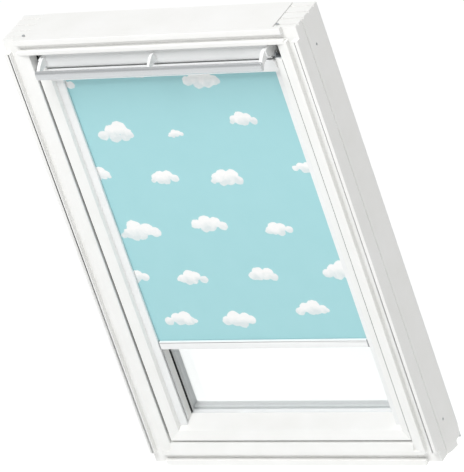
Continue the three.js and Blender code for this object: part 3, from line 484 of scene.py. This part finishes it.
def score(mesh, lowest, highest, depth):
    """Cuts a stopped groove into the room-side face that lies at the corners' depth."""
    faces = [f for f in mesh.faces if f.normal.y < -0.99 and abs(f.calc_center_median().y - lowest.y) < MM / 10
             and min(v.co.x for v in f.verts) < lowest.x and max(v.co.x for v in f.verts) > highest.x]
    planes = [(corner, axis) for corner in (lowest, highest) for axis in ((1, 0, 0), (0, 0, 1))]
    recess(mesh, faces, planes, lambda at: lowest.x < at.x < highest.x and lowest.z < at.z < highest.z,
           (0, depth, 0))


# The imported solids, each as a joined copy whose edges get the small radius of the real piece
def both(*names):
    return tuple(f"{side}_{name}" for side, _ in SIDES for name in names)


# Finish, slot, edge radius in millimetres (none where the edges stay sharp) and the nodes
NODE_FINISHES = (
    (PINE_UPRIGHT, "white_lacquer", 1.0, both("jamb", "stile")),
    (PINE_ACROSS, "white_lacquer", 1.0, ("head", "sill", "top_rail", "bottom_rail")),
    (WHITE_COAT, "white_aluminium", 0.5, ("ventilation_flap", "blind_cassette")),
    (WHITE_COAT, "white_aluminium", 0.35, both("channel")),
    (WHITE_COAT, "white_aluminium", None, both("bracket") + ("middle_bracket", "bottom_bar")),
    (WHITE_PLASTIC, "white_plastic", 0.5, both("cassette_cap")),
    (WHITE_PLASTIC, "white_plastic", None, both("roller_plug")),
    (GREY_PLASTIC, "white_plastic", None, both("bar_guide")),
    (PALE_SHEET, "pale_aluminium", 0.4, both("cladding", "upper_cover", "lower_cover", "glazing_bead")
     + ("sill_cladding", "hood", "bottom_cover", "top_glazing_bead", "bottom_glazing_bead")),
    (BRUSHED_BAR, "satin_aluminium", 0.6, ("control_bar",)),
    (BRUSHED_BAR, "satin_aluminium", None, ("roller_tube",)),
    (BRUSHED_SPACER, "satin_aluminium", 0.3, ("spacer_bar",)),
    (ZINC, "zinc_steel", 0.4, both("pivot_arm", "flap_hinge") + ("strike_plate", "latch_case",
                                                                "latch_lever")),
    (ZINC, "zinc_steel", None, both("pivot_housing")),
    (RUBBER, "black_rubber", 0.5, ("frame_gasket", "glazing_gasket")),
)
LIP_LINE_INSET = 9 * MM
LIP_LINE_WIDTH = 1.2 * MM
LIP_LINE_DEPTH = 1.5 * MM
LIP_LINE_STOP = 36 * MM
BAR_LINES = (2.4 * MM, 11.6 * MM)
BAR_LINE_WIDTH, BAR_LINE_DEPTH = 1.1 * MM, 0.8 * MM
BAR_LINE_STOP = 0.6 * MM


def finish_node(node, material):
    slots = frame["nodes"][node].data.materials
    if not slots:
        slots.append(material)
    for index in range(len(slots)):
        slots[index] = material


def score_lip(mesh, side, node):
    """The fine line along the lip on the room side of a jamb."""
    outer = high(node).x if side > 0 else low(node).x
    ends = sorted(outer - side * (LIP_LINE_INSET + k * LIP_LINE_WIDTH / 2) for k in (-1, 1))
    score(mesh, Vector((ends[0], low(node).y, low("sill").z + LIP_LINE_STOP)),
          Vector((ends[1], low(node).y, high("head").z - LIP_LINE_STOP)), LIP_LINE_DEPTH)


def score_bar(mesh):
    """Two lines along the front of the bottom bar."""
    for drop in BAR_LINES:
        score(mesh, Vector((low("bottom_bar").x + BAR_LINE_STOP, low("bottom_bar").y,
                            high("bottom_bar").z - drop - BAR_LINE_WIDTH)),
              Vector((high("bottom_bar").x - BAR_LINE_STOP, low("bottom_bar").y,
                      high("bottom_bar").z - drop)), BAR_LINE_DEPTH)


def dressed_node(node, material, width):
    """A copy of the node, joined up, with its edges rounded and its curves shaded smooth."""
    solid = frame["nodes"][node]
    mesh = bmesh.new()
    mesh.from_mesh(solid.data)
    bmesh.ops.remove_doubles(mesh, verts=mesh.verts, dist=MM / 500)
    bmesh.ops.dissolve_limit(mesh, angle_limit=radians(1), verts=mesh.verts, edges=mesh.edges)
    if width:
        soften(mesh, sharp_edges(mesh), width * MM)
    else:
        for edge in sharp_edges(mesh):
            edge.smooth = False
    for name, side in SIDES:
        if node == f"{name}_jamb":
            score_lip(mesh, side, node)
    if node == "bottom_bar":
        score_bar(mesh)
    for face in mesh.faces:
        face.material_index = 0
    smooth_shading(piece(mesh, f"{node}_dressed", (material,), solid["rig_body"], (node,)))


for material, slot, width, nodes in NODE_FINISHES:
    for node in nodes:
        finish_node(node, material)
        dressed_node(node, material, width)
PANES = ("inner_pane", "outer_pane")
for node in PANES:
    finish_node(node, GLASS)


# Weather seal along the outer sides of the sash, seen as a dark line in the gap on the right: a real seal whose
# black also stands in for the gap's shade, as painted shade
SEAL_THICKNESS, SEAL_WIDTH = 1.2 * MM, 5 * MM
SEAL_SETBACK = 0.6 * MM
SEAL_FOOT_INSET, SEAL_TOP_INSET = 22 * MM, 32 * MM


def edge_seal_and_gap_shade(name, side):
    """A rubber strip on the stile's outer side, with a rounded front that closes the gap; its black is partly
    painted shade in the gap.
    """
    stile = f"{name}_stile"
    near = high(stile).x if side > 0 else low(stile).x
    front = low(stile).y + SEAL_SETBACK
    across = sorted((near, near + side * SEAL_THICKNESS))
    mesh = bmesh.new()
    box_mesh(mesh, (across[0], front, low(stile).z + SEAL_FOOT_INSET),
             (across[1], front + SEAL_WIDTH, high(stile).z - SEAL_TOP_INSET))
    outer = [e for e in mesh.edges if all(abs(v.co.x - near) > MM for v in e.verts)
             and abs(e.verts[0].co.z - e.verts[1].co.z) > MM]
    soften(mesh, outer, SEAL_THICKNESS / 3, 3)
    smooth_shading(piece(mesh, f"{name}_edge_seal_and_gap_shade", (RUBBER,), "sash"))


# Black sealing strip between the inner pane and the spacer, on the two upright sides only: a real seal whose
# black also stands in for the shade at the glass's sides, as painted shade
PANE_SEAL_THICKNESS, PANE_SEAL_WIDTH = 0.8 * MM, 7.5 * MM
SPACER_DEPTH = 8 * MM
PANE_SEAL_STOP = 0.4 * MM


def pane_seal_and_side_shade(name, side):
    """A rubber strip on the spacer's inner face, against the inner pane; its black is partly painted shade at
    the glass's sides.
    """
    spacer, inner_face = "spacer_bar", (high("spacer_bar") if side > 0 else low("spacer_bar")).x
    inner_face -= side * SPACER_DEPTH
    across = sorted((inner_face, inner_face - side * PANE_SEAL_THICKNESS))
    mesh = bmesh.new()
    box_mesh(mesh, (across[0], low(spacer).y, low(spacer).z + SPACER_DEPTH + PANE_SEAL_STOP),
             (across[1], low(spacer).y + PANE_SEAL_WIDTH, high(spacer).z - SPACER_DEPTH - PANE_SEAL_STOP))
    back_edge = [e for e in mesh.edges if all(abs(v.co.x - inner_face) > MM / 2
                                              and v.co.y > low(spacer).y + MM for v in e.verts)]
    soften(mesh, back_edge, PANE_SEAL_THICKNESS / 2, 3)
    smooth_shading(piece(mesh, f"{name}_pane_seal_and_side_shade", (RUBBER,), "sash"))


for name, side in SIDES:
    edge_seal_and_gap_shade(name, side)
    pane_seal_and_side_shade(name, side)


# Cross-head screws: each row is one piece, on the part that it holds
SCREW_SUNK = 0.6 * MM
CROSS_WIDTH, CROSS_REACH, CROSS_DEPTH = 0.24, 0.55, 0.9


def screw_row(name, holder, facing, places, radius, proud):
    """Low pan heads with a cross recess, each seated a little way into the holder. The recess is
    given in shares of the head's radius and height."""
    mesh = bmesh.new()
    bmesh.ops.create_cone(mesh, cap_ends=True, segments=24, radius1=radius, radius2=radius,
                          depth=proud + SCREW_SUNK, matrix=Matrix.Translation((0, 0, (proud - SCREW_SUNK) / 2)))
    soften(mesh, [e for e in mesh.edges if all(v.co.z > proud - MM / 100 for v in e.verts)], proud * 0.45, 3)
    top = max(mesh.faces, key=lambda face: face.calc_center_median().z)
    half, reach = CROSS_WIDTH * radius / 2, CROSS_REACH * radius
    planes = [(Vector(axis) * offset, axis) for axis in ((1, 0, 0), (0, 1, 0))
              for offset in (-reach, -half, half, reach)]
    recess(mesh, [top], planes, lambda at: max(abs(at.x), abs(at.y)) < reach
           and min(abs(at.x), abs(at.y)) < half, (0, 0, -CROSS_DEPTH * proud))
    first = [*mesh.verts, *mesh.edges, *mesh.faces]
    turned = Vector(facing).to_track_quat("Z", "Y").to_matrix().to_4x4()
    for place in places:
        copied = bmesh.ops.duplicate(mesh, geom=first)["geom"]
        bmesh.ops.transform(mesh, matrix=Matrix.Translation(place) @ turned,
                            verts=[g for g in copied if isinstance(g, bmesh.types.BMVert)])
    bmesh.ops.delete(mesh, geom=[g for g in first if isinstance(g, bmesh.types.BMVert)], context="VERTS")
    for edge in sharp_edges(mesh):
        edge.smooth = False
    smooth_shading(piece(mesh, name, (ZINC,), frame["nodes"][holder]["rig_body"]))


def side_screws(name, side):
    """The screws of one side: pivot, covers, and the fixing holes of the jamb."""
    jamb, stile = f"{name}_jamb", f"{name}_stile"
    housing, arm = f"{name}_pivot_housing", f"{name}_pivot_arm"
    lower, upper = f"{name}_lower_cover", f"{name}_upper_cover"
    stile_face = (high(stile) if side > 0 else low(stile)).x
    housing_face = (low(housing) if side > 0 else high(housing)).x
    jamb_face = (high(jamb) if side > 0 else low(jamb)).x
    pivot_line = (low(housing).y + high(housing).y) / 2
    screw_row(f"{name}_housing_screws", housing, (-side, 0, 0),
              [(housing_face, pivot_line, z * MM) for z in (-42, 42)], 3.5 * MM, 0.8 * MM)
    screw_row(f"{name}_arm_screws", arm, (side, 0, 0),
              [(stile_face, (low(arm).y + high(arm).y) / 2, z * MM) for z in (-55, 55)], 3.5 * MM, 0.8 * MM)
    screw_row(f"{name}_lower_cover_screws", lower, (0, 1, 0),
              [(side * 318 * MM, high(lower).y, z * MM) for z in (-460, -310, -160)], 4 * MM, 1 * MM)
    screw_row(f"{name}_upper_cover_screws", upper, (0, 1, 0),
              [(side * 360 * MM, high(upper).y, z * MM) for z in (130, 285, 440)], 4 * MM, 1 * MM)
    screw_row(f"{name}_fixing_screws", jamb, (side, 0, 0),
              [(jamb_face - side * 1.6 * MM, 71 * MM, z * MM) for z in (-506, 506)], 3.1 * MM, 0.9 * MM)


for name, side in SIDES:
    side_screws(name, side)
screw_row("latch_screws", "latch_case", (0, 0, 1),
          [(x * MM, 66.5 * MM, 505.5 * MM) for x in (-17, 17)], 2.8 * MM, 1.1 * MM)
screw_row("head_screws", "head", (0, 0, 1),
          [(x * MM, 24 * MM, high("head").z) for x in (-338, 338)], 3.5 * MM, 0.4 * MM)


# The blind's cloth
CLOTH_HALF = high("blind_cloth").x
CLOTH_TOP, CLOTH_FOOT = high("blind_cloth").z, low("blind_cloth").z
CLOTH_FACE = (low("blind_cloth").y + high("blind_cloth").y) / 2
CLOTH_THICKNESS = 0.35 * MM
CLOTH_BELLY = 0.8 * MM
CLOTH_COLUMNS = 42
BAR_TOP = high("bottom_bar").z


def print_map(mesh, place):
    """Gives the cloth its own coordinates, in metres along and across it."""
    layer = mesh.loops.layers.uv.new("cloth")
    for face in mesh.faces:
        for loop in face.loops:
            loop[layer].uv = place(loop.vert.co)


def hanging_cloth():
    """The printed cloth from the roller to the bottom bar: three rows, with a slight belly between its edges."""
    mesh = bmesh.new()
    middle = (CLOTH_TOP + BAR_TOP) / 2
    upright = Matrix.Translation((0, CLOTH_FACE, middle)) @ Matrix.Rotation(pi / 2, 4, "X")
    stretch = Matrix.Diagonal((CLOTH_HALF, (CLOTH_TOP - BAR_TOP) / 2, 1, 1))
    bmesh.ops.create_grid(mesh, x_segments=CLOTH_COLUMNS, y_segments=2, size=1,
                          matrix=upright @ stretch)
    foot = [e for e in mesh.edges if all(abs(v.co.z - BAR_TOP) < MM for v in e.verts)]
    hem = bmesh.ops.extrude_edge_only(mesh, edges=foot)["geom"]
    bmesh.ops.translate(mesh, vec=(0, 0, CLOTH_FOOT - BAR_TOP),
                        verts=[v for v in hem if isinstance(v, bmesh.types.BMVert)])
    for vertex in mesh.verts:
        if abs(vertex.co.z - middle) < MM:
            vertex.co.y -= CLOTH_BELLY * (1 - (vertex.co.x / CLOTH_HALF) ** 2)
    print_map(mesh, lambda at: (at.x + CLOTH_HALF, at.z - CLOTH_FOOT))
    bmesh.ops.recalc_face_normals(mesh, faces=mesh.faces)
    if sum(face.normal.y for face in mesh.faces) > 0:
        bmesh.ops.reverse_faces(mesh, faces=mesh.faces)
    front = list(mesh.faces)
    bmesh.ops.solidify(mesh, geom=front, thickness=CLOTH_THICKNESS)
    for face in mesh.faces:
        face.material_index = int(face.normal.y > -0.5)
    cloth = piece(mesh, "blind_cloth_printed", (PRINTED, BACKING), None, ("blind_cloth",))
    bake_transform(cloth)


hanging_cloth()


# The cloth wound on the roller
ROLLER_AXIS = Vector((0, (low("wound_cloth").y + high("wound_cloth").y) / 2,
                      (low("wound_cloth").z + high("wound_cloth").z) / 2))
ROLL_OUTER = (high("wound_cloth").y - low("wound_cloth").y) / 2
ROLL_INNER = ROLL_OUTER - 1.4 * MM
ROLL_TURNS, ROLL_STEPS_PER_TURN = 3.5, 28


def wound_cloth():
    """The spare cloth, rolled in a spiral round the tube with its back outwards."""
    mesh = bmesh.new()
    steps = round(ROLL_TURNS * ROLL_STEPS_PER_TURN)
    shrink = ((ROLL_INNER / ROLL_OUTER) ** (1 / steps))
    ends = [bmesh.ops.create_vert(mesh, co=ROLLER_AXIS + Vector((x, ROLL_OUTER, 0)))["vert"][0]
            for x in (-CLOTH_HALF, CLOTH_HALF)]
    edge = mesh.edges.new(ends)
    travelled = {ends[0]: 0.0, ends[1]: 0.0}
    for step in range(1, steps + 1):
        grown = bmesh.ops.extrude_edge_only(mesh, edges=[edge])["geom"]
        edge = next(g for g in grown if isinstance(g, bmesh.types.BMEdge)
                    and all(v not in travelled for v in g.verts))
        bmesh.ops.rotate(mesh, verts=edge.verts, cent=ROLLER_AXIS,
                         matrix=Matrix.Rotation(2 * pi / ROLL_STEPS_PER_TURN, 3, "X"))
        bmesh.ops.scale(mesh, verts=edge.verts, vec=(1, shrink, shrink),
                        space=Matrix.Translation(-ROLLER_AXIS))
        for vertex in edge.verts:
            travelled[vertex] = step * 2 * pi * ROLL_OUTER / ROLL_STEPS_PER_TURN
    layer = mesh.loops.layers.uv.new("cloth")
    for face in mesh.faces:
        face.smooth = True
        for loop in face.loops:
            loop[layer].uv = (loop.vert.co.x + CLOTH_HALF, CLOTH_TOP - CLOTH_FOOT + travelled[loop.vert])
    bmesh.ops.recalc_face_normals(mesh, faces=mesh.faces)
    bmesh.ops.solidify(mesh, geom=list(mesh.faces), thickness=0.25 * MM)
    roll = piece(mesh, "wound_cloth_roll", (PRINTED,), "roller", ("wound_cloth",))


wound_cloth()


# Foam filter in the ventilation slot
FILTER_RIBS = 60


def foam_filter():
    """A strip of filter foam with softened edges, cut into shallow waves on its room side."""
    mesh = bmesh.new()
    lowest, highest = low("air_filter"), high("air_filter")
    box_mesh(mesh, lowest, highest)
    lengthwise = [e for e in mesh.edges if abs(e.verts[0].co.x - e.verts[1].co.x) > MM]
    bmesh.ops.subdivide_edges(mesh, edges=lengthwise, cuts=2 * FILTER_RIBS - 1, use_grid_fill=True)
    long_edges = [e for e in mesh.edges if abs(e.verts[0].co.x - e.verts[1].co.x) > MM / 10
                  and len(e.link_faces) == 2 and e.calc_face_angle() > 1]
    soften(mesh, long_edges, 3 * MM, 3)
    for vertex in mesh.verts:
        if vertex.co.y < (lowest.y + highest.y) / 2:
            share = (vertex.co.x - lowest.x) / (highest.x - lowest.x)
            vertex.co.y += 0.7 * MM * (1 - cos(2 * pi * FILTER_RIBS * share))
    bmesh.ops.recalc_face_normals(mesh, faces=mesh.faces)
    strip = piece(mesh, "foam_air_filter", (FOAM,), "sash", ("air_filter",))
    for polygon in strip.data.polygons:
        polygon.use_smooth = True


foam_filter()


# Floor and light
KEY_PLACE = (0.1, -3.0, 6.0)
KEY_POWER, KEY_SIZE = 350, 3.6
FILL_PLACE, FILL_POWER, FILL_SIZE = (-1.0, 5.0, 0.6), 75, 3.0
LAMP_GLOSS = 0.25
FLOOR_LIGHT = 2.5
SKY_SEEN, SKY_LIGHT, SKY_REFLECTED = 1.0, 0.30, 0.6


def make_floor():
    mesh = bmesh.new()
    bmesh.ops.create_grid(mesh, x_segments=1, y_segments=1, size=60,
                          matrix=Matrix.Translation((0, 0, cad_box[0].z - MM)))
    data = bpy.data.meshes.new("floor")
    mesh.to_mesh(data)
    mesh.free()
    floor = bpy.data.objects.new("floor", data)
    bpy.context.scene.collection.objects.link(floor)
    material, tree, shader, place = start("matt_white_floor")
    vary(tree, specks(tree, place, 400).outputs[0], "#F6F6F5", "#FAFAFA", shader)
    shader.inputs["Roughness"].default_value = 0.9
    data.materials.append(material)
    return floor


def lamp(name, kind, place, strength, **settings):
    """A lamp that is aimed at the window's middle."""
    data = bpy.data.lights.new(name, kind)
    data.energy = strength
    for setting, value in settings.items():
        setattr(data, setting, value)
    made = bpy.data.objects.new(name, data)
    bpy.context.scene.collection.objects.link(made)
    made.location = place
    made.rotation_euler = (-Vector(place)).to_track_quat("-Z", "Y").to_euler()
    return made


def linked(name, objects, state="INCLUDE"):
    """A collection for light linking: these objects alone, or all but these."""
    group = bpy.data.collections.new(name)
    for index, member in enumerate(objects):
        group.objects.link(member)
        group.collection_objects[index].light_linking.link_state = state
    return group


def make_light(floor):
    """A white room that is bright to look at and dimmer as a light, a soft key in front, a weak
    fill behind and a lamp for the floor. Key and fill are two lamps each: the light of one
    passes the panes, as through real glass, and the other lights the panes alone."""
    world = bpy.data.worlds.new("studio")
    world.use_nodes = True
    tree = world.node_tree
    ray = add(tree, "ShaderNodeLightPath").outputs
    reflected = number(tree, "MULTIPLY_ADD", ray["Is Glossy Ray"], SKY_REFLECTED - SKY_SEEN, SKY_SEEN)
    strength = number(tree, "MULTIPLY_ADD", ray["Is Diffuse Ray"], SKY_LIGHT - SKY_SEEN, reflected)
    sky = tree.nodes["Background"]
    sky.inputs["Color"].default_value = colour("#FFFFFF")
    tree.links.new(strength, sky.inputs["Strength"])
    bpy.context.scene.world = world
    bpy.context.scene.view_settings.view_transform = "Standard"
    panes = [frame["nodes"][pane] for pane in PANES]
    for name, place, power, size in (("key", KEY_PLACE, KEY_POWER, KEY_SIZE),
                                     ("fill", FILL_PLACE, FILL_POWER, FILL_SIZE)):
        on_object, on_panes = (lamp(f"{name}_{share}", "AREA", place, power, shape="DISK", size=size,
                                    specular_factor=LAMP_GLOSS) for share in ("on_object", "on_panes"))
        on_object.light_linking.receiver_collection = linked(f"{name}_lights", [floor, *panes], "EXCLUDE")
        on_object.light_linking.blocker_collection = linked(f"{name}_passes", panes, "EXCLUDE")
        on_panes.light_linking.receiver_collection = linked(f"{name}_panes", panes)
    floor_only = linked("floor_only", [floor])
    floor_lamp = lamp("floor_lamp", "SUN", (0, 0, 5), FLOOR_LIGHT)
    floor_lamp.light_linking.receiver_collection = floor_only
    floor_lamp.light_linking.blocker_collection = floor_only


make_light(make_floor())
